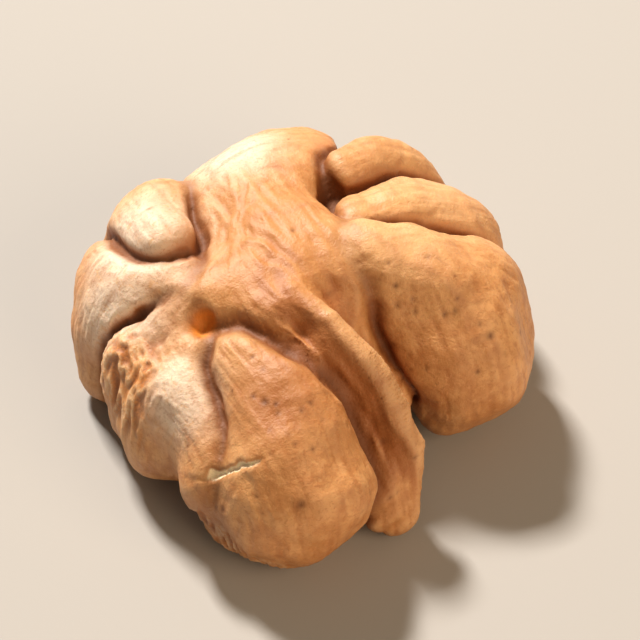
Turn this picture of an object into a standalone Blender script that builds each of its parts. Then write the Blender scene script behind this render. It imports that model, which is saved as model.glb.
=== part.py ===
"""Half of a shelled walnut kernel, lying on its hollow side.

The kernel is one solid. It is made of folds of meat, and each fold of one or more lobes: a
smooth path of beads whose radius swells and tapers. The beads are united with a voxel
remesh, and every point of that skin is then drawn onto the rounded surface the folds share,
where a narrow crease runs wherever two folds meet. Wrinkles come last, and the lowest folds
are worn flat where the kernel rests.

Lengths in the tables are in millimetres. X runs across the two wings, Y along the groove
between them, from its open end (-Y) to the stalk end (+Y), and Z up from the table.
"""

import bpy
import bmesh
import numpy as np
from mathutils import Matrix, Vector, noise

MM = 0.001

# Driving dimensions, in millimetres
LOBE_BLEND = 0.9        # how softly the lobes of one fold run together
FOLD_BLEND = 0.55       # how softly two folds meet
CREASE_DEPTH = 0.5      # how far the crease between two folds sinks
CREASE_WIDTH = 0.75
GROWN_BLEND = 1.3       # how softly folds meet where they have grown together
BEAD_SPACING = 0.9
FIRST_VOXEL = 0.55      # grid of the first skin round the beads
VOXEL = 0.36            # grid of the skin that carries the creases
SETTLE_PASSES = 5       # passes that draw a skin onto the folds
SETTLE_REACH = 0.6      # farthest the skin moves in one pass
UNSETTLED = 0.25        # a point left this far off the folds is smoothed in full
WARP_SIZE = 6.5         # the slow wander that keeps the folds from being regular
WARP_REACH = 0.9
WARP_APART = (0.0, 17.3, 41.9)
WRINKLE_SIZE = 4.0
WRINKLE_DEPTH = 0.28
FOOT_WEAR = 0.45        # height worn off the lowest folds
TRIANGLES = 11000

# The keel between the wings is a wedge under its crest. Each row is a place (x, y, z) on the
# crest and how widely the wedge spreads below it there, and each layer below is that much wider.
KEEL_CREST = [
    (-1.6, -0.8, 15.0, 1.3),
    (-0.6, -3.4, 14.1, 1.3),
    (-0.1, -6.0, 12.2, 1.1),
    (1.2, -9.2, 9.5, 0.85),
    (1.4, -10.8, 7.0, 0.6),
    (1.1, -11.8, 4.6, 0.45),
]
KEEL_TIP = 0.4
KEEL_STEP = (-0.45, -0.1, -1.0)
KEEL_WIDENING = 0.48
KEEL_LAYERS = 6

# Each fold is a list of lobes, each lobe a path of (x, y, z, radius)
FOLDS = {
    # the raised bridge that joins the wings, its plateau and the crown at the stalk end
    "middle": [
        [(1.5, 10.5, 9.7, 4.1), (0.0, 6.0, 10.9, 4.1), (-1.4, 2.0, 11.2, 4.0), (-1.4, 0.6, 10.8, 3.8)],
        [(-1.5, 6.0, 10.6, 3.7), (-4.2, 3.4, 10.3, 3.7)],
        [(1.0, 4.5, 10.7, 3.9), (2.4, 1.2, 10.5, 3.5)],
        [(0.0, 12.6, 10.3, 3.0), (4.0, 13.0, 10.4, 3.6), (7.2, 13.2, 10.3, 2.7)],
        [(3.6, 9.6, 10.0, 3.8), (3.5, 12.4, 7.0, 4.2), (3.0, 12.6, 4.0, 4.0)],
        [(-1.8, 10.0, 9.8, 3.8), (-2.0, 12.2, 7.0, 3.8), (-2.0, 12.6, 4.0, 3.7)],
        # meat behind the folds of each wing
        [(-5.4, 9.0, 7.8, 3.8), (-7.6, 3.0, 7.4, 3.8), (-7.0, -3.0, 7.0, 3.7)],
        [(6.5, 9.4, 7.5, 4.0), (8.8, 4.5, 7.2, 4.2), (8.6, -0.5, 7.0, 4.0)],
        [(2.0, 0.0, 9.4, 3.0), (2.6, -3.0, 7.4, 2.4), (2.8, -4.6, 6.2, 2.0)],
    ],
    # left wing, from the stalk end forwards
    "left_knob": [
        [(-6.0, 12.8, 3.6, 3.4), (-5.0, 13.8, 6.6, 3.3), (-4.8, 13.0, 10.3, 3.2), (-5.8, 9.6, 12.2, 3.0)],
    ],
    "left_shoulder": [
        [(-6.4, 6.4, 10.8, 3.0), (-8.4, 8.8, 8.8, 3.6), (-9.8, 9.4, 5.6, 3.6), (-10.0, 9.2, 3.4, 3.3)],
        [(-7.8, 9.8, 8.8, 3.0), (-7.6, 12.0, 7.6, 2.8), (-8.4, 12.4, 4.6, 2.8)],
    ],
    "left_flank": [
        [(-7.8, 0.6, 9.6, 2.7), (-9.5, -0.4, 7.0, 3.6), (-10.2, 0.0, 4.6, 3.6), (-9.8, 0.2, 3.7, 3.5)],
        [(-8.2, 4.0, 9.8, 2.3), (-10.2, 4.6, 7.4, 2.6), (-11.0, 5.2, 4.6, 2.7), (-10.8, 5.4, 3.0, 2.7)],
        [(-9.6, -0.6, 7.4, 3.2), (-9.5, -3.4, 7.0, 3.1), (-9.6, -5.8, 5.8, 3.0), (-9.6, -7.0, 4.6, 2.9)],
    ],
    "left_paw": [
        [(-5.6, -1.7, 9.7, 4.0), (-5.4, -5.6, 8.3, 4.7), (-5.8, -9.0, 6.0, 4.8), (-5.7, -8.6, 4.5, 4.7)],
        [(-7.8, -7.4, 6.0, 3.4), (-9.0, -7.8, 4.8, 3.2), (-9.0, -7.2, 3.3, 3.2)],
    ],
    # right wing, from the stalk end forwards
    "right_back": [[(7.6, 11.8, 9.0, 3.0), (10.2, 12.2, 6.2, 3.2), (10.8, 11.8, 3.4, 3.2)]],
    "right_knob": [
        [
            (7.0, 8.8, 12.2, 2.1), (10.4, 9.2, 10.8, 2.8), (12.6, 8.7, 8.0, 3.1),
            (13.2, 8.4, 4.6, 3.1), (12.8, 8.3, 3.2, 3.0),
        ],
    ],
    "right_rib": [
        [
            (6.2, 5.0, 12.3, 2.3), (10.2, 4.4, 11.0, 2.9), (13.1, 3.9, 8.4, 3.1),
            (13.8, 3.5, 5.0, 3.1), (13.2, 3.4, 3.1, 3.1),
        ],
    ],
    "right_paw": [
        [(4.6, 0.9, 11.8, 2.9), (7.3, -2.6, 9.6, 4.1), (8.8, -5.4, 6.9, 4.3), (8.8, -4.6, 4.4, 4.2)],
        [(7.6, 0.2, 11.0, 3.4), (10.8, -1.4, 8.6, 4.0), (12.0, -2.6, 5.4, 3.9), (11.6, -2.6, 3.9, 3.9)],
    ],
    # folds of the hollow side
    "left_inner": [
        [(-4.8, 9.0, 5.6, 3.1), (-6.6, 5.0, 5.2, 3.5), (-6.6, 0.0, 5.2, 3.5), (-5.6, -4.0, 5.4, 3.1)],
    ],
    "right_inner": [[(5.6, 9.0, 5.6, 3.1), (8.0, 4.5, 5.2, 3.5), (8.4, -0.5, 5.4, 3.3)]],
}

# Places (x, y, z, radius) where neighbouring folds have grown together and no crease shows
GROWN_TOGETHER = [
    (-6.6, 3.4, 12.4, 2.6),
    (3.8, 1.4, 13.4, 3.2),
    (-2.6, 13.6, 11.4, 2.0),
    (-11.6, -5.4, 5.4, 3.0),
]


def smooth_path(points):
    """Segments of a Catmull-Rom curve through the points, as rows (start, end)."""
    points = np.array(points, float)
    ends = np.vstack([2 * points[0] - points[1], points, 2 * points[-1] - points[-2]])
    beads = []
    for before, start, end, after in zip(ends, ends[1:], ends[2:], ends[3:]):
        count = max(2, round(np.linalg.norm(end[:3] - start[:3]) / BEAD_SPACING))
        for t in np.arange(count) / count:
            bend = (2 * before - 5 * start + 4 * end - after) * t ** 2
            twist = (3 * start - 3 * end + after - before) * t ** 3
            beads.append(0.5 * (2 * start + (end - before) * t + bend + twist))
    beads.append(points[-1])
    beads = np.array(beads)
    return np.stack([beads[:-1], beads[1:]], axis=1)


def keel():
    """A wedge under its crest, as paths that widen with depth and stop above the table."""
    layers = []
    for layer in range(KEEL_LAYERS):
        path = []
        for *crest, spread in KEEL_CREST:
            radius = KEEL_TIP + layer * KEEL_WIDENING * spread
            path.append((*(np.array(crest) + layer * np.array(KEEL_STEP)), radius))
        path = [bead for bead in path if bead[2] > bead[3] + 0.4]
        if len(path) > 1:
            layers.append(smooth_path(path))
    return np.concatenate(layers)


def all_folds():
    folds = [[smooth_path(lobe) for lobe in lobes] for lobes in FOLDS.values()]
    folds[0].append(keel())
    return folds


def lobe_distance(points, segments):
    """Distance of each point from a lobe's skin, and the direction straight away from it."""
    best = np.full(len(points), np.inf)
    away = np.zeros_like(points)
    for start, end in segments:
        along = end[:3] - start[:3]
        offset = points - start[:3]
        t = np.clip(offset @ along / (along @ along), 0, 1)
        offset -= t[:, None] * along
        length = np.sqrt((offset ** 2).sum(axis=1)) + 1e-9
        distance = length - (start[3] + t * (end[3] - start[3]))
        nearer = distance < best
        best[nearer] = distance[nearer]
        away[nearer] = offset[nearer] / length[nearer, None]
    return best, away


def blended(found, softness):
    """Smooth union of several (distance, gradient) pairs."""
    distances = np.array([distance for distance, _ in found])
    nearest = distances.min(axis=0)
    weights = np.exp(-(distances - nearest) / softness)
    total = weights.sum(axis=0)
    gradient = sum(w[:, None] * away for w, (_, away) in zip(weights, found)) / total[:, None]
    return nearest - softness * np.log(total), gradient


def wander(points):
    """The points as the folds see them, shifted by a slow noise that differs along X, Y and Z."""
    shift = [[noise.noise(Vector(p / WARP_SIZE + apart)) for apart in WARP_APART] for p in points]
    return points + WARP_REACH * np.array(shift)


def grown_together(points):
    """1 at the heart of a grown-together place, falling to 0 outside it."""
    share = np.zeros(len(points))
    for x, y, z, radius in GROWN_TOGETHER:
        away = ((points - (x, y, z)) ** 2).sum(axis=1)
        share = np.maximum(share, np.exp(-away / radius ** 2))
    return share


def kernel_distance(points, folds):
    """Signed distance from the kernel's surface, its gradient, and the share of a crease."""
    seen = wander(points)
    grown = grown_together(points)
    found = [blended([lobe_distance(seen, lobe) for lobe in lobes], LOBE_BLEND) for lobes in folds]
    distance, gradient = blended(found, FOLD_BLEND + (GROWN_BLEND - FOLD_BLEND) * grown)
    two = np.partition(np.array([d for d, _ in found]), 1, axis=0)[:2]
    crease = (1 - grown) * np.exp(-((two[1] - two[0]) / CREASE_WIDTH) ** 2)
    return distance + CREASE_DEPTH * crease, gradient, crease


def new_object(name, mesh):
    obj = bpy.data.objects.new(name, mesh)
    bpy.context.scene.collection.objects.link(obj)
    return obj


def applied(obj):
    """The object with its modifiers applied, as a new object of the same name."""
    bpy.context.view_layer.update()
    graph = bpy.context.evaluated_depsgraph_get()
    mesh = bpy.data.meshes.new_from_object(obj.evaluated_get(graph))
    name = obj.name
    bpy.data.objects.remove(obj)
    return new_object(name, mesh)


def remeshed(obj, voxel):
    remesh = obj.modifiers.new("one skin", "REMESH")
    remesh.mode = "VOXEL"
    remesh.voxel_size = voxel * MM
    return applied(obj)


def bead_skin(folds):
    """One closed skin round every bead."""
    bm = bmesh.new()
    for lobes in folds:
        for start, end in np.concatenate(lobes):
            for x, y, z, radius in (start, end):
                place = Matrix.Translation((x * MM, y * MM, z * MM))
                bmesh.ops.create_icosphere(bm, subdivisions=2, radius=radius * MM, matrix=place)
    mesh = bpy.data.meshes.new("walnut_kernel")
    bm.to_mesh(mesh)
    bm.free()
    return remeshed(new_object("walnut_kernel", mesh), FIRST_VOXEL)


def get_points(mesh):
    points = np.empty(len(mesh.vertices) * 3, np.float32)
    mesh.vertices.foreach_get("co", points)
    return points.reshape(-1, 3).astype(float) / MM


def set_points(mesh, points):
    mesh.vertices.foreach_set("co", (points * MM).astype(np.float32).ravel())
    mesh.update()


def relaxed(obj, passes, weights=None):
    """The object smoothed, by a weight for each of its points if weights are given."""
    relax = obj.modifiers.new("relax", "SMOOTH")
    relax.factor = 0.4
    relax.iterations = passes
    if weights is not None:
        group = obj.vertex_groups.new(name="loose")
        for index in np.flatnonzero(weights > 0.05):
            group.add([int(index)], float(weights[index]), "REPLACE")
        relax.vertex_group = group.name
    return applied(obj)


def settle(obj, folds):
    """Draws the skin onto the folds, relaxing it sideways in between."""
    for turn in range(SETTLE_PASSES):
        points = get_points(obj.data)
        distance, gradient, _ = kernel_distance(points, folds)
        steepness = np.maximum((gradient ** 2).sum(axis=1), 0.3)
        step = np.clip(distance / steepness, -SETTLE_REACH, SETTLE_REACH)
        set_points(obj.data, points - step[:, None] * gradient)
        if turn < SETTLE_PASSES - 1:
            obj = relaxed(obj, 2)
    distance, _, crease = kernel_distance(get_points(obj.data), folds)
    return relaxed(obj, 8, np.clip(np.maximum(np.abs(distance) / UNSETTLED, crease), 0, 1))


def wrinkle(obj):
    """Small wrinkles along the skin's own normals."""
    points = get_points(obj.data)
    normals = np.array([v.normal for v in obj.data.vertices])
    heave = np.array([noise.fractal(Vector(p / WRINKLE_SIZE), 0.9, 2.0, 2) for p in points])
    set_points(obj.data, points + WRINKLE_DEPTH * heave[:, None] * normals)


def stand_on_table(obj):
    """Centres the kernel over the origin and wears its lowest folds flat at Z = 0."""
    points = get_points(obj.data)
    low, high = points.min(axis=0), points.max(axis=0)
    shift = [(low[0] + high[0]) / 2, (low[1] + high[1]) / 2, low[2] + FOOT_WEAR]
    points -= shift
    points[:, 2] = np.maximum(points[:, 2], 0)
    set_points(obj.data, points)


def thin_out(obj):
    obj.data.calc_loop_triangles()
    thin = obj.modifiers.new("thin out", "DECIMATE")
    thin.ratio = TRIANGLES / len(obj.data.loop_triangles)
    return applied(obj)


def skin_material():
    material = bpy.data.materials.new("kernel_skin")
    material.use_nodes = True
    shader = material.node_tree.nodes["Principled BSDF"]
    shader.inputs["Base Color"].default_value = (0.62, 0.36, 0.15, 1)
    shader.inputs["Roughness"].default_value = 0.55
    shader.inputs["Metallic"].default_value = 0.0
    return material


def main():
    for obj in list(bpy.data.objects):
        bpy.data.objects.remove(obj)
    folds = all_folds()
    kernel = settle(bead_skin(folds), folds)
    kernel = settle(remeshed(kernel, VOXEL), folds)
    wrinkle(kernel)
    kernel = thin_out(kernel)
    stand_on_table(kernel)
    kernel.data.materials.append(skin_material())
    kernel.data.shade_smooth()
    collection = bpy.data.collections.new("cracked_walnut")
    bpy.context.scene.collection.children.link(collection)
    bpy.context.scene.collection.objects.unlink(kernel)
    collection.objects.link(kernel)


main()
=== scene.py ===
"""Looks for half of a shelled walnut kernel, lying on its hollow side on a pale table.

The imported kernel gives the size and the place. The folds of meat it is made of are grown again
here on a much finer skin, which then gets its own creases, fibres, veins, puckers and scars.

Lengths in the tables are in millimetres, in the folds' own coordinates: X runs across the two
wings, Y along the groove between them to the stalk end, and Z up from the table.
"""

import heapq
import math

import bpy
import numpy as np
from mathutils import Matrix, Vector, bvhtree, kdtree, noise


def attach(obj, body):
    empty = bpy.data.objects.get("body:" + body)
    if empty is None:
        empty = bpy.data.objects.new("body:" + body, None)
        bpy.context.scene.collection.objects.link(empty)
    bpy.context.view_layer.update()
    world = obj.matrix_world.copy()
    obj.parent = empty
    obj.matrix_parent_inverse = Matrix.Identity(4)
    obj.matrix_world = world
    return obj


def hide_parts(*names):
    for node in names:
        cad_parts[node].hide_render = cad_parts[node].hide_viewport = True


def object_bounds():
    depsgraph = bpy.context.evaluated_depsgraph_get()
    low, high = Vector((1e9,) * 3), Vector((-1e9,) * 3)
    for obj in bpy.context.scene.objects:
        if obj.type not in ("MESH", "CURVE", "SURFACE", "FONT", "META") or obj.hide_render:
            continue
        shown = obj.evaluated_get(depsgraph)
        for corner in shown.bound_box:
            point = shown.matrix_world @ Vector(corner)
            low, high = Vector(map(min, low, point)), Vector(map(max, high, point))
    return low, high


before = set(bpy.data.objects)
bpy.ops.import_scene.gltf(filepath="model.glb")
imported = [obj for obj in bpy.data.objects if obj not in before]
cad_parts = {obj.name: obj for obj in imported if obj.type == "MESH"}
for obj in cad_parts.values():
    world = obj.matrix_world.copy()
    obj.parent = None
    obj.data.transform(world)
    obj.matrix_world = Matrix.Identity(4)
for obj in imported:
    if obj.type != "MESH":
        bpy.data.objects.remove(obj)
cad_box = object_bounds()

MM = 0.001
SEED = 7

# The skin the looks are built on
SKIN_VOXELS = (0.30, 0.205)  # grids of the two skins, coarse then fine
SETTLE_PASSES = 3
SETTLE_REACH = 0.5           # the farthest a point is drawn onto the folds in one pass
SLIDE = 0.5                  # how far it then slides towards the middle of its neighbours
EASING_PASSES = 8            # evening out of the points along the creases
EASING = 0.7
LOBE_BLEND = 0.9             # how softly the lobes of one fold run together
FOLD_BLEND = 0.3             # how softly two folds meet
CREASE_DEPTH = 0.85
CREASE_WIDTH = 0.5
GROWN_BLEND = 1.3            # how softly folds meet where they have grown together
BEAD_SPACING = 0.9
FAR = 4.5                    # a lobe farther off than this has no say in a point's place
WARP_SIZE = 6.5              # the slow wander that keeps the folds from being regular
WARP_REACH = 0.9
WARP_APART = (0.0, 17.3, 41.9)
WRINKLE_SIZE = 4.0
WRINKLE_DEPTH = 0.28

# The keel between the wings is a wedge under its crest. Each row is a place (x, y, z) on the
# crest and how widely the wedge spreads below it there, and each layer below is that much wider.
KEEL_CREST = [
    (-1.6, -0.8, 15.0, 1.3),
    (-0.6, -3.4, 14.1, 1.3),
    (-0.1, -6.0, 12.2, 1.1),
    (1.2, -9.2, 9.5, 0.85),
    (1.4, -10.8, 7.0, 0.6),
    (1.1, -11.8, 4.6, 0.45),
]
KEEL_TIP = 0.3
KEEL_STEP = (-0.225, -0.05, -0.5)
KEEL_WIDENING = 0.24
KEEL_LAYERS = 12
KEEL_CLEARANCE = 0.4         # how far above the table the wedge ends

# Each fold is a list of lobes, each lobe a path of (x, y, z, radius)
FOLDS = {
    # the raised bridge that joins the wings, its plateau and the crown at the stalk end
    "middle": [
        [(1.5, 10.5, 9.7, 4.1), (0.0, 6.0, 10.9, 4.1), (-1.4, 2.0, 11.2, 4.0), (-1.4, 0.6, 10.8, 3.8)],
        [(-1.5, 6.0, 10.6, 3.7), (-4.2, 3.4, 10.3, 3.7)],
        [(1.0, 4.5, 10.7, 3.9), (2.4, 1.2, 10.5, 3.5)],
        [(0.0, 12.6, 10.3, 3.0), (4.0, 13.0, 10.4, 3.6), (7.2, 13.2, 10.3, 2.7)],
        [(3.6, 9.6, 10.0, 3.8), (3.5, 12.4, 7.0, 4.2), (3.0, 12.6, 4.0, 4.0)],
        [(-1.8, 10.0, 9.8, 3.8), (-2.0, 12.2, 7.0, 3.8), (-2.0, 12.6, 4.0, 3.7)],
        # meat behind the folds of each wing
        [(-5.4, 9.0, 7.8, 3.8), (-7.6, 3.0, 7.4, 3.8), (-7.0, -3.0, 7.0, 3.7)],
        [(6.5, 9.4, 7.5, 4.0), (8.8, 4.5, 7.2, 4.2), (8.6, -0.5, 7.0, 4.0)],
        [(2.0, 0.0, 9.4, 3.0), (2.6, -3.0, 7.4, 2.4), (2.8, -4.6, 6.2, 2.0)],
    ],
    # left wing, from the stalk end forwards
    "left_knob": [
        [(-6.0, 12.8, 3.6, 3.4), (-5.0, 13.8, 6.6, 3.3), (-4.8, 13.0, 10.3, 3.2), (-5.8, 9.6, 12.2, 3.0)],
    ],
    "left_shoulder": [
        [(-6.4, 6.4, 10.8, 3.0), (-8.4, 8.8, 8.8, 3.6), (-9.8, 9.4, 5.6, 3.6), (-10.0, 9.2, 3.4, 3.3)],
        [(-7.8, 9.8, 8.8, 3.0), (-7.6, 12.0, 7.6, 2.8), (-8.4, 12.4, 4.6, 2.8)],
    ],
    "left_flank": [
        [(-7.8, 0.6, 9.6, 2.7), (-9.5, -0.4, 7.0, 3.6), (-10.2, 0.0, 4.6, 3.6), (-9.8, 0.2, 3.7, 3.5)],
        [(-8.2, 4.0, 9.8, 2.3), (-10.2, 4.6, 7.4, 2.6), (-11.0, 5.2, 4.6, 2.7), (-10.8, 5.4, 3.0, 2.7)],
        [(-9.6, -0.6, 7.4, 3.2), (-9.5, -3.4, 7.0, 3.1), (-9.6, -5.8, 5.8, 3.0), (-9.6, -7.0, 4.6, 2.9)],
    ],
    "left_paw": [
        [(-5.6, -1.7, 9.7, 4.0), (-5.4, -5.6, 8.3, 4.7), (-5.8, -9.0, 6.0, 4.8), (-5.7, -8.6, 4.5, 4.7)],
        [(-7.8, -7.4, 6.0, 3.4), (-9.0, -7.8, 4.8, 3.2), (-9.0, -7.2, 3.3, 3.2)],
    ],
    # right wing, from the stalk end forwards
    "right_back": [[(7.6, 11.8, 9.0, 3.0), (10.2, 12.2, 6.2, 3.2), (10.8, 11.8, 3.4, 3.2)]],
    "right_knob": [
        [
            (7.0, 8.8, 12.2, 2.1), (10.4, 9.2, 10.8, 2.8), (12.6, 8.7, 8.0, 3.1),
            (13.2, 8.4, 4.6, 3.1), (12.8, 8.3, 3.2, 3.0),
        ],
    ],
    "right_rib": [
        [
            (6.2, 5.0, 12.3, 2.3), (10.2, 4.4, 11.0, 2.9), (13.1, 3.9, 8.4, 3.1),
            (13.8, 3.5, 5.0, 3.1), (13.2, 3.4, 3.1, 3.1),
        ],
    ],
    "right_paw": [
        [(4.6, 0.9, 11.8, 2.9), (7.3, -2.6, 9.6, 4.1), (8.8, -5.4, 6.9, 4.3), (8.8, -4.6, 4.4, 4.2)],
        [(7.6, 0.2, 11.0, 3.4), (10.8, -1.4, 8.6, 4.0), (12.0, -2.6, 5.4, 3.9), (11.6, -2.6, 3.9, 3.9)],
    ],
    # folds of the hollow side
    "left_inner": [
        [(-4.8, 9.0, 5.6, 3.1), (-6.6, 5.0, 5.2, 3.5), (-6.6, 0.0, 5.2, 3.5), (-5.6, -4.0, 5.4, 3.1)],
    ],
    "right_inner": [[(5.6, 9.0, 5.6, 3.1), (8.0, 4.5, 5.2, 3.5), (8.4, -0.5, 5.4, 3.3)]],
}

# Places (x, y, z, radius) where neighbouring folds have grown together and no crease shows
GROWN_TOGETHER = [
    (-6.6, 3.4, 12.4, 2.6),
    (3.8, 1.4, 13.4, 3.2),
    (-2.6, 13.6, 11.4, 2.0),
    (-11.6, -5.4, 5.4, 3.0),
]

# Marks on the skin, each a place (x, y, z) and a radius
PIT = (-7.6, 1.5, 12.0, 1.0)
PUCKERED_TUCK = (-12.6, 3.0, 8.2, 3.7)
TORN_BAND = [(-12.3, -6.9, 3.6), (-11.4, -9.0, 2.8), (-9.5, -11.5, 2.0)]
PLATEAU = (-1.0, 5.0, 15.0, 5.0)
PLATEAU_RIDGES = (-1.0, 3.3, 15.6, 3.0)
CROWN_END = (7.3, 12.2, 13.2, 2.4)
# Paler skin with a painted highlight on the lobes that face the key light
PALE_AND_LIT = [
    (-8.0, 9.5, 13.0, 5.0),      # the left knob
    (-11.8, 6.5, 10.5, 4.5),     # the left shoulder
    (1.5, 13.8, 14.0, 3.9),      # the crown
    (-11.0, -1.8, 10.0, 3.1),    # the left flank
]
# Painted light: paler on the right ribs and the right paw's top, where the light falls
LIT_RIGHT_SIDE = [(11.5, 4.5, 11.5, 5.0), (6.5, 0.0, 13.5, 3.5)]   # the right ribs, the right paw's top
# Places painted with shade: the left paw and the knob's lower side
SHADED_PLACES = [(-6.2, -6.6, 12.0, 4.0), (-5.4, 7.4, 12.9, 1.6)]   # the left paw, the knob's lower side
LEFT_PAW = (-7.5, -8.0, 11.5, 4.5)
RIGHT_PAW = (9.0, -4.5, 11.0, 4.5)
SCAR = [(-12.2, -5.8, 6.3), (-11.3, -7.4, 8.0), (-10.3, -8.6, 9.3), (-9.0, -9.7, 10.4)]
BIG_SPECKS = [
    (-7.4, -6.7, 12.3, 0.30), (-6.9, -7.3, 12.3, 0.22), (-7.9, -5.9, 12.5, 0.18),
    (-8.2, -12.8, 8.6, 0.30), (9.5, -7.7, 10.7, 0.26), (4.8, -3.0, 13.7, 0.2),
    (-11.6, -8.9, 6.3, 0.2),
]

# Dents, each a place (x, y, z), a radius and a depth
DENTS = [
    (5.7, -4.6, 12.5, 1.8, 0.40),    # on the right paw, beside the groove
    (-2.7, -3.4, 13.5, 1.4, 0.55),   # under the plateau's lip, where the keel starts
    (5.5, 7.0, 12.5, 1.5, 0.60),     # between the crown and the ribs
    (-6.9, 5.4, 14.0, 1.2, 0.50),    # under the left knob
]

# Relief, in millimetres
FIBRE_DEPTH = 0.010      # streaks on the lobes
PLATEAU_FIBRE = 0.03     # added on the plateau and the keel
PUCKER_SIZE = 0.75
PUCKER_DEPTH = 0.40
TORN_WIDTH = 1.5
RIDGE_SIZE = 1.1
RIDGE_DEPTH = 0.22
PIT_DEPTH = 1.0
PIT_RIM = 1.7            # the radius of the raised rim, for each of the pit's
PIT_RIM_HEIGHT = 0.25
SCAR_WIDTH = 0.28
SCAR_HEIGHT = 0.2
GRAIN_SIZE = 0.8
GRAIN_DEPTH = 0.03
VEIN_HEIGHT = 0.045
VEIN_SPACING = 1.9
SPECKS = 110
SPECK_DEPTH = 0.06
KEEL_REACH = 3.0         # how far from the crest the keel's own skin goes
CREST_WIDTH = 0.35       # the plain band along the crest, without other relief
BLADE_HEIGHT = 0.75      # the keel's crest, drawn up to a thin edge
BLADE_WIDTH = 0.36
BLADE_START = 0.5
FLANK_DEPTH = 0.35       # the keel's flanks, hollowed beside it
FLANK_PLACE = 2.0
FLANK_WIDTH = 1.0
FLUTE_SPACING = 1.0      # shallow flutes along both flanks
FLUTE_DEPTH = 0.07
FLUTED_WIDTH = 1.4
SHELTER_RAYS = 16
SHELTER_REACH = 5.0
BOX_MARGIN = 0.4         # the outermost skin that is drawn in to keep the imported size

# Bends of the skin, measured by how far its points sink when it is blurred
NEAR_BLUR = (16, 0.16)   # times blurred, and the sinking in millimetres that counts as full
WIDE_BLUR = (110, 0.8)

# Studio
CAMERA_AZIMUTH = -30
CAMERA_ELEVATION = 46
CAMERA_DISTANCE = 0.245
CAMERA_LENS = 200
TABLE_SIZE = 3


# ---------------------------------------------------------------- the shape of the folds

def smooth_path(points):
    """Segments of a Catmull-Rom curve through the points, as rows (start, end)."""
    points = np.array(points, float)
    ends = np.vstack([2 * points[0] - points[1], points, 2 * points[-1] - points[-2]])
    beads = []
    for before, start, end, after in zip(ends, ends[1:], ends[2:], ends[3:]):
        count = max(2, round(np.linalg.norm(end[:3] - start[:3]) / BEAD_SPACING))
        for t in np.arange(count) / count:
            bend = (2 * before - 5 * start + 4 * end - after) * t ** 2
            twist = (3 * start - 3 * end + after - before) * t ** 3
            beads.append(0.5 * (2 * start + (end - before) * t + bend + twist))
    beads.append(points[-1])
    beads = np.array(beads)
    return np.stack([beads[:-1], beads[1:]], axis=1)


def keel():
    """A wedge under its crest, as paths that widen with depth and stop above the table."""
    layers = []
    for layer in range(KEEL_LAYERS):
        path = []
        for *crest, spread in KEEL_CREST:
            radius = KEEL_TIP + layer * KEEL_WIDENING * spread
            path.append((*(np.array(crest) + layer * np.array(KEEL_STEP)), radius))
        path = [bead for bead in path if bead[2] > bead[3] + KEEL_CLEARANCE]
        if len(path) > 1:
            layers.append(smooth_path(path))
    return np.concatenate(layers)


def all_folds():
    folds = [[smooth_path(lobe) for lobe in lobes] for lobes in FOLDS.values()]
    folds[0].append(keel())
    return folds


def lobe_distance(points, segments):
    """Distance of each point from a lobe's skin, the direction away from it, and the lobe's run."""
    best = np.full(len(points), FAR)
    away = np.zeros_like(points)
    run = np.zeros_like(points)
    middles = segments[:, :, :3]
    margin = segments[:, :, 3].max() + FAR
    low, high = middles.min(axis=(0, 1)) - margin, middles.max(axis=(0, 1)) + margin
    near = np.flatnonzero(((points > low) & (points < high)).all(axis=1))
    seen = points[near]
    for start, end in segments:
        along = end[:3] - start[:3]
        offset = seen - start[:3]
        t = np.clip(offset @ along / (along @ along), 0, 1)
        offset -= t[:, None] * along
        length = np.sqrt((offset ** 2).sum(axis=1)) + 1e-9
        distance = length - (start[3] + t * (end[3] - start[3]))
        nearer = distance < best[near]
        chosen = near[nearer]
        best[chosen] = distance[nearer]
        away[chosen] = offset[nearer] / length[nearer, None]
        run[chosen] = along / np.linalg.norm(along)
    return best, away, run


def blended(found, softness):
    """Smooth union of several (distance, away, run) triples. The run is the nearest one's."""
    distances = np.array([distance for distance, _, _ in found])
    nearest = distances.min(axis=0)
    weights = np.exp(-(distances - nearest) / softness)
    total = weights.sum(axis=0)
    away = sum(w[:, None] * a for w, (_, a, _) in zip(weights, found)) / total[:, None]
    runs = np.array([run for _, _, run in found])
    run = runs[distances.argmin(axis=0), np.arange(len(nearest))]
    return nearest - softness * np.log(total), away, run


def wander(points):
    """The points as the folds see them, shifted by a slow noise that differs along X, Y and Z."""
    shift = [[noise.noise(Vector(p / WARP_SIZE + apart)) for apart in WARP_APART] for p in points]
    return points + WARP_REACH * np.array(shift)


def share_near(points, place):
    """1 at the heart of a place (x, y, z, radius), falling softly to 0 outside it."""
    away = ((points - np.array(place[:3])) ** 2).sum(axis=1)
    return np.exp(-away / place[3] ** 2)


def share_near_any(points, places):
    return np.max([share_near(points, place) for place in places], axis=0)


def kernel_field(points, folds):
    """Signed distance from the kernel's surface, its gradient, the seam share and the fold's run."""
    seen = wander(points)
    grown = share_near_any(points, GROWN_TOGETHER)
    found = [blended([lobe_distance(seen, lobe) for lobe in lobes], LOBE_BLEND) for lobes in folds]
    distance, away, run = blended(found, FOLD_BLEND + (GROWN_BLEND - FOLD_BLEND) * grown)
    two = np.partition(np.array([d for d, _, _ in found]), 1, axis=0)[:2]
    seam = (1 - grown) * np.exp(-((two[1] - two[0]) / CREASE_WIDTH) ** 2)
    return distance + CREASE_DEPTH * seam, away, seam, run


# ---------------------------------------------------------------- the fine skin

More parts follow.
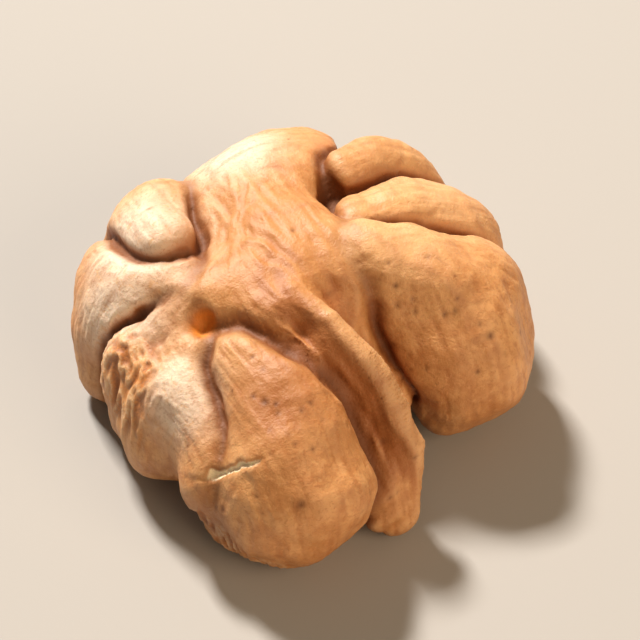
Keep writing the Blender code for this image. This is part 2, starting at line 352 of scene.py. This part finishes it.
class Skin:
    """The points of a closed mesh in the folds' coordinates, with the edges that join them."""

    def __init__(self, obj, stand):
        self.obj = obj
        self.mesh = obj.data
        self.stand = stand
        flat = np.empty(len(self.mesh.vertices) * 3, np.float32)
        self.mesh.vertices.foreach_get("co", flat)
        self.points = flat.reshape(-1, 3).astype(float) / MM + stand
        pairs = np.empty(len(self.mesh.edges) * 2, np.int32)
        self.mesh.edges.foreach_get("vertices", pairs)
        self.pairs = pairs.reshape(-1, 2)
        self.count = len(self.points)

    def write(self):
        places = (self.points - self.stand) * MM
        self.mesh.vertices.foreach_set("co", places.astype(np.float32).ravel())
        self.mesh.update()

    def normals(self):
        self.write()
        flat = np.empty(self.count * 3, np.float32)
        self.mesh.vertex_normals.foreach_get("vector", flat)
        return flat.reshape(-1, 3).astype(float)

    def neighbours(self, values, weights=None):
        """For each point the average of its neighbours' values, by a weight for each edge."""
        a, b = self.pairs.T
        weights = np.ones(len(a)) if weights is None else weights

        def gathered(column):
            from_b = np.bincount(a, weights * column[b], self.count)
            return from_b + np.bincount(b, weights * column[a], self.count)

        total = gathered(np.ones(self.count))
        sums = [gathered(column) for column in values.reshape(self.count, -1).T]
        return (np.array(sums) / np.maximum(total, 1e-9)).T.reshape(values.shape)

    def blurred(self, values, times, weights=None):
        for _ in range(times):
            values = 0.5 * (values + self.neighbours(values, weights))
        return values

    def lift(self, height):
        """Moves the points along the skin's own normals."""
        self.points += np.asarray(height)[:, None] * self.normals()


def new_object(name, data):
    obj = bpy.data.objects.new(name, data)
    bpy.context.scene.collection.objects.link(obj)
    return obj


def applied(obj):
    """The object with its modifiers applied, as a new object of the same name."""
    bpy.context.view_layer.update()
    graph = bpy.context.evaluated_depsgraph_get()
    mesh = bpy.data.meshes.new_from_object(obj.evaluated_get(graph))
    name = obj.name
    bpy.data.objects.remove(obj)
    return new_object(name, mesh)


def remeshed(obj, voxel):
    remesh = obj.modifiers.new("one skin", "REMESH")
    remesh.mode = "VOXEL"
    remesh.voxel_size = voxel * MM
    return applied(obj)


def find_stand(cad_mesh, folds):
    """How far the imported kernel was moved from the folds' coordinates, fitted to its surface."""
    points = np.array([v.co for v in cad_mesh.vertices]) / MM
    points = points[points[:, 2] > 0.1]
    beads = np.concatenate([lobe.reshape(-1, 4) for lobes in folds for lobe in lobes])
    low = (beads[:, :3] - beads[:, 3:]).min(axis=0)
    high = (beads[:, :3] + beads[:, 3:]).max(axis=0)
    stand = np.array([(low[0] + high[0]) / 2, (low[1] + high[1]) / 2, 0.0])
    for _ in range(6):
        distance, away, _, _ = kernel_field(points + stand, folds)
        close = np.abs(distance) < 1.5
        stand -= np.linalg.lstsq(away[close], distance[close], rcond=None)[0]
    return stand


def settle(skin, folds):
    """Draws the skin onto the folds, evening out its points sideways in between."""
    for _ in range(SETTLE_PASSES):
        distance, away, _, _ = kernel_field(skin.points, folds)
        steepness = np.maximum((away ** 2).sum(axis=1), 0.3)
        skin.points -= np.clip(distance / steepness, -SETTLE_REACH, SETTLE_REACH)[:, None] * away
        slide = skin.neighbours(skin.points) - skin.points
        normals = skin.normals()
        lift = (slide * normals).sum(axis=1)[:, None] * normals
        skin.points += SLIDE * (slide - 0.7 * lift)


def ease_creases(skin, folds):
    """Evens out the points along the bottoms of the creases."""
    seam = kernel_field(skin.points, folds)[2]
    for _ in range(EASING_PASSES):
        skin.points += EASING * seam[:, None] * (skin.neighbours(skin.points) - skin.points)


def fine_skin(folds):
    """The kernel's skin on a fine grid, drawn onto the folds it is grown from."""
    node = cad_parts["walnut_kernel"]
    stand = find_stand(node.data, folds)
    obj = new_object("kernel", node.data.copy())
    for voxel in SKIN_VOXELS:
        obj = remeshed(obj, voxel)
        skin = Skin(obj, stand)
        settle(skin, folds)
        ease_creases(skin, folds)
        skin.write()
    return skin


# ---------------------------------------------------------------- relief

def fractal(points, size, octaves=3, apart=0.0):
    return np.array([noise.fractal(Vector(p / size + apart), 0.9, 2.0, octaves) for p in points])


def ridged(points, size, apart=0.0):
    """Noise with sharp ridges, from 0 in the valleys to 1 on the ridges."""
    return np.array([1 - abs(noise.noise(Vector(p / size + apart))) * 2.2 for p in points]).clip(0, 1)


def fold_runs(skin, run):
    """The way each fold runs at every point, and how well each edge of the skin agrees with it."""
    spread = skin.blurred(run[:, :, None] * run[:, None, :], 12)
    along = np.linalg.eigh(spread)[1][:, :, 2]
    a, b = skin.pairs.T
    edge = skin.points[b] - skin.points[a]
    edge /= np.linalg.norm(edge, axis=1)[:, None] + 1e-9
    return 0.5 * (np.abs((edge * along[a]).sum(axis=1)) + np.abs((edge * along[b]).sum(axis=1)))


def fibres(skin, agree):
    """Fine streaks that follow the run of each fold, from seeded grains drawn out along it."""
    grains = np.random.default_rng(SEED).normal(size=skin.count)
    streaks = skin.blurred(skin.blurred(grains, 1), 60, agree ** 6 + 0.01)
    streaks -= skin.blurred(streaks, 30)
    return np.clip(streaks / streaks.std(), -2.5, 2.5)


def shortest_ways(skin, cost, root):
    """The way from the root to every point along the cheapest edges, as each point's parent."""
    links = [[] for _ in range(skin.count)]
    for (a, b), price in zip(skin.pairs.tolist(), cost.tolist()):
        links[a].append((b, price))
        links[b].append((a, price))
    reach = [math.inf] * skin.count
    parent = [root] * skin.count
    reach[root] = 0.0
    heap = [(0.0, root)]
    while heap:
        so_far, here = heapq.heappop(heap)
        if so_far > reach[here]:
            continue
        for there, price in links[here]:
            if so_far + price < reach[there]:
                reach[there] = so_far + price
                parent[there] = here
                heapq.heappush(heap, (so_far + price, there))
    return np.array(parent), np.array(reach)


def veins(skin, agree):
    """A net of veins that branches out from the bridge over every fold: 1 on a vein, 0 off it."""
    a, b = skin.pairs.T
    length = np.linalg.norm(skin.points[a] - skin.points[b], axis=1)
    rough = fractal(skin.points, 1.4, 2, 5.5)
    cost = length * (1.7 - agree) * np.exp(1.6 * (rough[a] + rough[b]))
    root = int(((skin.points - PLATEAU[:3]) ** 2).sum(axis=1).argmin())
    parent, reach = shortest_ways(skin, cost, root)
    shuffled = np.random.default_rng(SEED).permutation(skin.count)
    cells = np.floor(skin.points[shuffled] / VEIN_SPACING).astype(int)
    tips = shuffled[np.unique(cells, axis=0, return_index=True)[1]]
    flow = np.zeros(skin.count)
    flow[tips] = 1
    for point in np.argsort(-reach):
        if point != root:
            flow[parent[point]] += flow[point]
    line = np.flatnonzero(flow > 0)
    places = skin.points.copy()
    for _ in range(5):
        down = np.zeros_like(places)
        np.add.at(down, parent[line], flow[line, None] * places[line])
        weight = np.zeros(skin.count)
        np.add.at(weight, parent[line], flow[line])
        down[weight > 0] /= weight[weight > 0, None]
        down[weight == 0] = places[weight == 0]
        places[line] = 0.4 * places[line] + 0.3 * places[parent[line]] + 0.3 * down[line]
    tree = kdtree.KDTree(2 * len(line))
    for index, point in enumerate(line):
        tree.insert(places[point], 2 * index)
        tree.insert(0.5 * (places[point] + places[parent[point]]), 2 * index + 1)
    tree.balance()
    found = [tree.find(p)[1:] for p in skin.points]
    nearest, distance = np.array(found).T
    size = np.log2(1 + flow[line[nearest.astype(int) // 2]])
    width = np.minimum(0.12 + 0.03 * size, 0.3)
    return np.minimum(0.3 + 0.12 * size, 1) * np.exp(-(distance / width) ** 2)


def path_distance(points, path):
    """Distance of each point from a path, and how far along the path it is, from 0 to 1."""
    path = np.array(path)
    best = np.full(len(points), np.inf)
    share = np.zeros(len(points))
    for step, (start, end) in enumerate(zip(path, path[1:])):
        along = end - start
        t = np.clip((points - start) @ along / (along @ along), 0, 1)
        distance = np.linalg.norm(points - start - t[:, None] * along, axis=1)
        nearer = distance < best
        best[nearer] = distance[nearer]
        share[nearer] = ((step + t) / (len(path) - 1))[nearer]
    return best, share


def on_skin(points, place):
    """The point of the skin nearest to a place."""
    return points[((points - np.array(place[:3])) ** 2).sum(axis=1).argmin()]


def scar_marks(points):
    """How much each point belongs to the torn line on the left paw, and to the lip along it."""
    path = [on_skin(points, place) for place in SCAR]
    ragged = 0.35 * fractal(points, 0.9, 2, 3.1)
    distance, share = path_distance(points + ragged[:, None] * np.array((0, 0.6, 0.8)), path)
    ends = np.clip(np.minimum(share, 1 - share) * 6, 0, 1)
    lip = ends * np.exp(-(distance / (3 * SCAR_WIDTH)) ** 2)
    return ends * np.exp(-(distance / SCAR_WIDTH) ** 2), lip


def specks(points):
    """Small dark dots, most of them on the two paws."""
    rng = np.random.default_rng(SEED)
    likely = 0.1 + share_near(points, LEFT_PAW) + share_near(points, RIGHT_PAW)
    chosen = rng.choice(len(points), SPECKS, replace=False, p=likely / likely.sum())
    marks = np.zeros(len(points))
    for centre in points[chosen]:
        dot = share_near(points, (*centre, rng.uniform(0.13, 0.22)))
        marks = np.maximum(marks, rng.uniform(0.3, 0.9) * dot)
    for *place, radius in BIG_SPECKS:
        marks = np.maximum(marks, share_near(points, (*on_skin(points, place), radius)))
    return marks


def shelter(skin, normals):
    """How much of each point's outlook the kernel itself closes off, from 0 to 1; the colours paint shade
    by it.
    """
    faces = [list(face.vertices) for face in skin.mesh.polygons]
    tree = bvhtree.BVHTree.FromPolygons([Vector(p) for p in skin.points], faces)
    turns = (np.arange(SHELTER_RAYS) + 0.5) / SHELTER_RAYS
    angle = np.arange(SHELTER_RAYS) * math.pi * (3 - math.sqrt(5))
    sides = np.sqrt(turns)
    rays = np.stack([sides * np.cos(angle), sides * np.sin(angle), np.sqrt(1 - turns)], axis=1)
    closed = np.zeros(skin.count)
    for index, (point, normal) in enumerate(zip(skin.points, normals)):
        start = Vector(point + 0.05 * normal)
        turn = Vector(normal).to_track_quat("Z", "Y").to_matrix()
        hits = [tree.ray_cast(start, turn @ Vector(ray), SHELTER_REACH)[3] for ray in rays]
        closed[index] = sum(1 - hit / SHELTER_REACH for hit in hits if hit is not None)
    return skin.blurred(closed / SHELTER_RAYS, 4)


def sinking(skin, normals, blur):
    """How far each point sinks along its normal when the skin is blurred, as a share of full."""
    times, full = blur
    return ((skin.blurred(skin.points, times) - skin.points) * normals).sum(axis=1) / full


def keep_inside(skin):
    """Draws the outermost skin softly in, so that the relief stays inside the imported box."""
    low, high = (np.array(corner) / MM + skin.stand for corner in cad_box)
    skin.points[:, 2] = np.maximum(skin.points[:, 2], low[2])
    for side, limit, axes in ((1, high, (0, 1, 2)), (-1, low, (0, 1))):
        for axis in axes:
            start = side * limit[axis] - BOX_MARGIN
            over = np.maximum(side * skin.points[:, axis] - start, 0)
            skin.points[:, axis] += side * (BOX_MARGIN * np.tanh(over / BOX_MARGIN) - over)


def build_kernel():
    """The fine skin with all its relief, and the marks that its colours are painted from."""
    folds = all_folds()
    skin = fine_skin(folds)
    _, _, seam, run = kernel_field(skin.points, folds)
    skin.lift(WRINKLE_DEPTH * fractal(skin.points, WRINKLE_SIZE, 2))

    points = skin.points
    crest, along_crest = path_distance(wander(points), [place for *place, _ in KEEL_CREST])
    blade = np.clip(np.minimum(along_crest * 8, (1 - along_crest) * 5), 0, 1)
    keel_edge = blade * np.exp(-(np.maximum(crest - 0.3, 0) / CREST_WIDTH) ** 2)
    on_keel = np.exp(-(crest / KEEL_REACH) ** 4)
    plateau = share_near(points, PLATEAU)
    agree = fold_runs(skin, run)
    streaks = fibres(skin, agree)
    puckers = ridged(points * (1, 1, 0.3), PUCKER_SIZE, 2.2)
    ridges = ridged(points * (1, 0.5, 1), RIDGE_SIZE, 7.7)
    pit_floor = on_skin(points, PIT)
    pit = share_near(points, (*pit_floor, PIT[3]))
    rim = share_near(points, (*pit_floor, PIT_RIM * PIT[3])) - pit
    scar, lip = scar_marks(points)
    band, _ = path_distance(points, [np.array(place) for place in TORN_BAND])
    torn = np.maximum(share_near(points, PUCKERED_TUCK), np.exp(-(band / TORN_WIDTH) ** 2))
    speck = specks(points)
    vein = veins(skin, agree)

    height = (FIBRE_DEPTH + PLATEAU_FIBRE * np.maximum(plateau, 0.7 * on_keel)) * streaks
    height += GRAIN_DEPTH * fractal(points, GRAIN_SIZE, 2)
    height += PUCKER_DEPTH * torn * (puckers - 0.6)
    height += RIDGE_DEPTH * share_near(points, PLATEAU_RIDGES) * (ridges - 0.5)
    height += PIT_RIM_HEIGHT * rim - PIT_DEPTH * pit
    height += SCAR_HEIGHT * (lip - 2.0 * scar)
    for *place, depth in DENTS:
        height -= depth * share_near(points, place)
    height -= SPECK_DEPTH * speck
    height += VEIN_HEIGHT * vein
    height *= 1 - keel_edge
    height += blade * BLADE_HEIGHT * np.exp(-np.maximum(crest - BLADE_START, 0) / BLADE_WIDTH)
    height -= blade * FLANK_DEPTH * np.exp(-((crest - FLANK_PLACE) / FLANK_WIDTH) ** 2)
    flutes = np.sin(2 * math.pi * (crest + 0.5 * fractal(points, 3.0, 2, 8.8)) / FLUTE_SPACING)
    height += blade * FLUTE_DEPTH * flutes * np.exp(-((crest - FLANK_PLACE) / FLUTED_WIDTH) ** 2)
    skin.lift(height)
    keep_inside(skin)

    points, normals = skin.points, skin.normals()
    near, wide = sinking(skin, normals, NEAR_BLUR), sinking(skin, normals, WIDE_BLUR)
    # the left-facing flanks, painted darker as shade on the keel
    shaded_left_side = (0.3 - 2 * normals[:, 0]).clip(0, 1)
    marks = {
        # hollow and shelter become painted shade in the colours; hollow also roughens the skin
        "hollow": 0.5 * near.clip(0, 1) + 0.7 * wide.clip(0, 1),
        "crest": 0.6 * (-near).clip(0, 1) + 0.5 * (-wide).clip(0, 1),
        # the creases between folds, which the colours also paint as shade
        "seam": seam,
        "fibre": 0.5 + 0.2 * streaks,
        "vein": vein,
        "speck": speck,
        "torn": torn,
        "pucker": puckers,
        "pit": pit,
        "scar": scar,
        # the keel's browner skin, with painted shade on its left-facing flank
        "keel": on_keel * (0.25 + 0.75 * shaded_left_side),
        "plateau": plateau,
        "keel_edge": keel_edge,
        "crown_end": share_near(points, CROWN_END),
        # painted shade on the skin that faces down
        "under": ((0.1 - normals[:, 2]) * 2).clip(0, 1),
        "shelter": shelter(skin, normals),
        # paler skin with a painted highlight where the key light falls
        "pale_and_lit": share_near_any(points, PALE_AND_LIT),
        # painted light on the right ribs and the right paw's top
        "lit_right_side": share_near_any(points, LIT_RIGHT_SIDE),
        # painted shade on the left paw and the knob's lower side
        "shaded_places": share_near_any(points, SHADED_PLACES),
    }
    for name, values in marks.items():
        attribute = skin.mesh.attributes.new(name, "FLOAT", "POINT")
        attribute.data.foreach_set("value", np.asarray(values, np.float32))
    return skin.obj


# ---------------------------------------------------------------- materials

class Wire:
    """One socket of a material's nodes. Sums of wires add the Math nodes they stand for."""

    def __init__(self, tree, socket=None):
        self.tree = tree
        self.socket = socket

    def node(self, kind, settings=(), sockets=(), output=0):
        """Adds a node: its settings first, then the values or wires of its sockets."""
        made = self.tree.nodes.new(kind)
        for name, value in dict(settings).items():
            setattr(made, name, value)
        for name, value in dict(sockets).items():
            if isinstance(value, Wire):
                self.tree.links.new(value.socket, made.inputs[name])
            else:
                made.inputs[name].default_value = value
        return Wire(self.tree, made.outputs[output])

    def feed(self, value, shader, socket):
        """Lets a wire decide one socket of a shader."""
        self.tree.links.new(value.socket, shader.inputs[socket])

    def maths(self, operation, *values):
        return self.node("ShaderNodeMath", {"operation": operation}, dict(enumerate(values)))

    def __add__(self, other):
        return self.maths("ADD", self, other)

    def __sub__(self, other):
        return self.maths("SUBTRACT", self, other)

    def __rsub__(self, other):
        return self.maths("SUBTRACT", other, self)

    def __mul__(self, other):
        return self.maths("MULTIPLY", self, other)

    __radd__ = __add__
    __rmul__ = __mul__

    def ramp(self, low, high):
        """0 up to low, 1 from high on, and a smooth rise between."""
        sockets = {"Value": self, "From Min": low, "From Max": high}
        return self.node("ShaderNodeMapRange", {"interpolation_type": "SMOOTHSTEP"}, sockets)

    def attribute(self, name):
        return self.node("ShaderNodeAttribute", {"attribute_name": name}, output="Fac")

    def mix(self, one, other, share, blend="MIX"):
        """One colour turning into the other by a share from 0 to 1."""
        settings = {"data_type": "RGBA", "blend_type": blend}
        return self.node("ShaderNodeMix", settings, {0: share, 6: one, 7: other}, 2)

    def grain(self, size, detail, roughness, distortion=0.0):
        """Noise with features of a size in millimetres."""
        place = self.node("ShaderNodeTexCoord", output="Object")
        sockets = {"Vector": place, "Scale": 1 / (size * MM), "Detail": detail}
        sockets |= {"Roughness": roughness, "Distortion": distortion}
        return self.node("ShaderNodeTexNoise", {}, sockets, "Fac")


# Colours of the skin, from the barest places to the deepest creases. The browns also paint shade and the
# pale ones also paint light.
TAN = (0.54, 0.235, 0.075, 1)
PALE = (0.74, 0.39, 0.155, 1)
CREAM = (0.82, 0.53, 0.28, 1)
BLOOM = (0.90, 0.79, 0.65, 1)
BROWN = (0.36, 0.115, 0.026, 1)
DEEP = (0.24, 0.075, 0.016, 1)
CREASE = (0.14, 0.040, 0.008, 1)
ORANGE = (0.66, 0.22, 0.025, 1)
ROSY = (0.74, 0.31, 0.12, 1)
MEAT = (0.90, 0.74, 0.48, 1)


def kernel_skin():
    """Thin tan skin, paler with painted light on the lit lobes, and with painted shade in the hollows,
    the creases, on the shaded sides and under it.
    """
    material = bpy.data.materials.new("kernel_skin")
    material.use_nodes = True
    shader = material.node_tree.nodes["Principled BSDF"]
    wire = Wire(material.node_tree)
    hollow, shelter = wire.attribute("hollow"), wire.attribute("shelter")
    fibre = wire.attribute("fibre")
    keel = wire.attribute("keel") * (1 - 0.55 * wire.attribute("keel_edge"))
    clouds = wire.grain(5.5, 3, 0.55)
    mottling = wire.grain(1.3, 4, 0.62, 0.4)
    blotches = wire.grain(0.55, 3, 0.65, 0.6)
    fine = wire.grain(0.22, 3, 0.65)

    def ragged(mark, amount):
        """A mark with its outline broken up by the mottling."""
        return wire.attribute(mark) + amount * mottling - 0.5 * amount

    shreds = wire.mix(BROWN, CREAM, wire.attribute("pucker").ramp(0.3, 0.9))
    shreds = wire.mix(shreds, ORANGE, (0.5 * fine + 0.5 * mottling).ramp(0.44, 0.58) * 0.65)

    # Each coat is a paint and how much of it covers the coats before it
    coats = [
        (PALE, (0.6 * clouds + 0.6 * mottling).ramp(0.45, 0.8)),
        (CREAM, wire.attribute("crest").ramp(0.1, 0.9) * 0.45),
        # paler skin with a painted highlight on the lobes that face the key light
        (BLOOM, ragged("pale_and_lit", 0.4).ramp(0.0, 1.0) * 0.7),
        (BROWN, (1 - fibre).ramp(0.45, 0.95) * 0.35),
        (BROWN, blotches.ramp(0.54, 0.72) * 0.4),
        (PALE, blotches.ramp(0.46, 0.30) * 0.5),
        (BROWN, fine.ramp(0.55, 0.70) * 0.35),
        (TAN, wire.attribute("plateau") * 0.9),
        # the keel's browner skin, with painted shade on its left-facing flank
        (BROWN, keel * 0.85),
        # painted light: paler on the right ribs and the right paw's top
        (CREAM, wire.attribute("lit_right_side") * 0.5),
        # painted shade on the left paw and the knob's lower side
        (BROWN, ragged("shaded_places", 0.5).ramp(0.0, 1.0) * 0.7),
        (BROWN, wire.attribute("vein") * 0.32),
        (ROSY, wire.attribute("crown_end") * 0.7),
        (shreds, ragged("torn", 0.4).ramp(0.25, 0.7) * 0.85),
        # painted shade: browner where the skin faces down
        (BROWN, wire.attribute("under") * 0.45),
        # painted shade: browner, then deep brown, where the kernel shelters itself and in its hollows
        (BROWN, (0.8 * shelter + 0.5 * hollow).ramp(0.07, 0.5) * 0.85),
        (DEEP, (shelter + 0.4 * hollow).ramp(0.3, 0.8) * 0.85),
        # painted shade: dark brown along the bottoms of the creases between folds
        (CREASE, wire.attribute("seam") * 0.75),
        (ORANGE, ragged("pit", 0.3).ramp(0.2, 0.75)),
        (MEAT, wire.attribute("scar").ramp(0.25, 0.7)),
        (CREASE, wire.attribute("speck") * 0.85),
    ]
    colour = TAN
    for paint, cover in coats:
        colour = wire.mix(colour, paint, cover)
    wire.feed(colour, shader, "Base Color")

    wire.feed(0.45 + 0.18 * mottling + 0.15 * hollow, shader, "Roughness")
    height = 0.8 * fine + blotches + 0.4 * fibre
    bump = {"Height": height, "Strength": 0.6, "Distance": 0.10 * MM}
    wire.feed(wire.node("ShaderNodeBump", {}, bump), shader, "Normal")
    shader.inputs["Subsurface Weight"].default_value = 0.12
    shader.inputs["Subsurface Radius"].default_value = (1.0, 0.45, 0.2)
    shader.inputs["Subsurface Scale"].default_value = 0.6 * MM
    return material


def table_top():
    """Pale matt paint."""
    material = bpy.data.materials.new("table_top")
    material.use_nodes = True
    shader = material.node_tree.nodes["Principled BSDF"]
    shader.inputs["Base Color"].default_value = (0.42, 0.405, 0.385, 1)
    shader.inputs["Roughness"].default_value = 0.9
    shader.inputs["Specular IOR Level"].default_value = 0.2
    return material


# ---------------------------------------------------------------- stage, light and camera

def placed(name, data, middle, direction, distance):
    """A lamp or camera at a distance from the middle, looking at it."""
    obj = new_object(name, data)
    obj.location = middle + direction * distance
    obj.rotation_mode = "QUATERNION"
    obj.rotation_quaternion = direction.to_track_quat("Z", "Y")
    return obj


def area_light(name, middle, direction, distance, size, power, colour):
    lamp = bpy.data.lights.new(name, "AREA")
    lamp.size = size
    lamp.energy = power
    lamp.color = colour
    placed(name, lamp, middle, direction.normalized(), distance)


def studio(low, high):
    """The table, a key light from the far left, a warm fill from the right and the camera."""
    middle = (low + high) / 2
    azimuth, elevation = math.radians(CAMERA_AZIMUTH), math.radians(CAMERA_ELEVATION)
    right = Vector((math.cos(azimuth), math.sin(azimuth), 0))
    back = Vector((
        math.sin(azimuth) * math.cos(elevation),
        -math.cos(azimuth) * math.cos(elevation),
        math.sin(elevation),
    ))
    up = back.cross(right)

    bpy.ops.mesh.primitive_plane_add(size=TABLE_SIZE, location=(0, 0, low.z))
    floor = bpy.context.object
    floor.name = "table"
    floor.data.materials.append(table_top())

    from_left = -right * 0.32 + up * 0.95 + back * 0.14
    from_right = right * 0.6 - up * 0.1 + back * 0.7
    area_light("key", middle, from_left, 0.8, 0.12, 12.5, (1.0, 0.93, 0.85))
    area_light("fill", middle, from_right, 0.5, 0.35, 1.7, (1.0, 0.74, 0.48))

    world = bpy.data.worlds.new("room")
    world.use_nodes = True
    room = world.node_tree.nodes["Background"]
    room.inputs["Color"].default_value = (1.0, 0.86, 0.68, 1)
    room.inputs["Strength"].default_value = 0.18
    bpy.context.scene.world = world
    bpy.context.scene.view_settings.view_transform = "Standard"

    camera = bpy.data.cameras.new("camera")
    camera.lens = CAMERA_LENS
    camera.clip_start = 0.01
    camera.clip_end = 10
    bpy.context.scene.camera = placed("camera", camera, middle, back, CAMERA_DISTANCE)


def main():
    kernel = build_kernel()
    kernel.data.materials.clear()
    kernel.data.materials.append(kernel_skin())
    kernel.data.shade_smooth()
    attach(kernel, "root")
    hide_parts("walnut_kernel")
    studio(*cad_box)


main()
